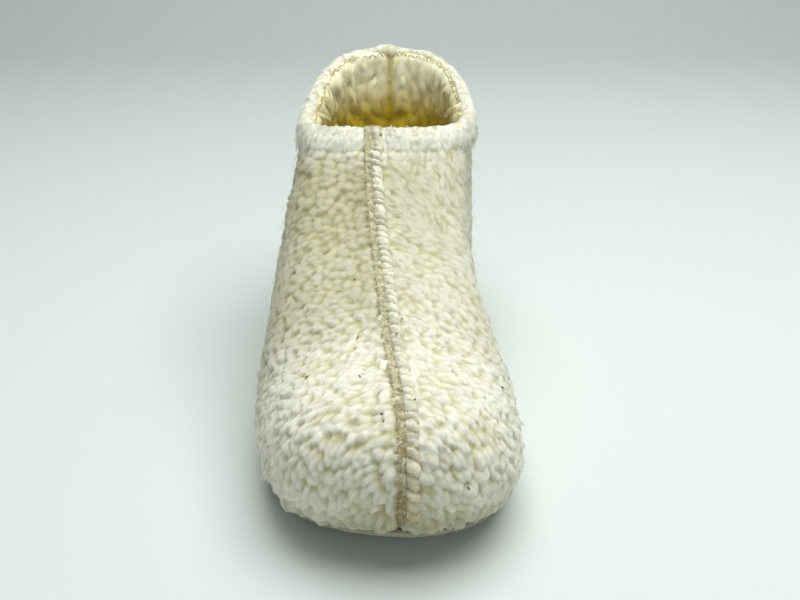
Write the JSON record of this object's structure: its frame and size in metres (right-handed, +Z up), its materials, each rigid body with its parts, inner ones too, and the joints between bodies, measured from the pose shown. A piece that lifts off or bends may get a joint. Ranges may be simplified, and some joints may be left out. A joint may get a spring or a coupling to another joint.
{
  "type": "slipper boot",
  "caption": "Ankle-high slipper boot for a right foot in curly wool fleece, with a raised centre-front seam, a turned collar hem and a thin leather sole.",
  "frame": {"origin": "on the floor under the middle of the boot's bounding box", "axes": "+Z up, toe towards -Y, medial side (inner side of a right foot) towards +X"},
  "size_m": [0.1074, 0.2732, 0.1326],
  "materials": {
    "sole_leather": "pale smooth leather, matt",
    "wool_lining": "long yellowish wool pile",
    "cream_fleece": "curly cream wool fleece",
    "hem_fleece": "short cream fleece, turned and stitched",
    "seam_tape": "fuzzy beige seam allowance",
    "overlock_yarn": "soft cream overlock stitching"
  },
  "bodies": {
    "root": {"outsole": "sole_leather", "insole": "wool_lining", "upper": "cream_fleece", "collar_hem": "hem_fleece", "front_seam_tape": "seam_tape", "front_seam_overlock": "overlock_yarn", "back_seam": "overlock_yarn"}
  },
  "joints": []
}
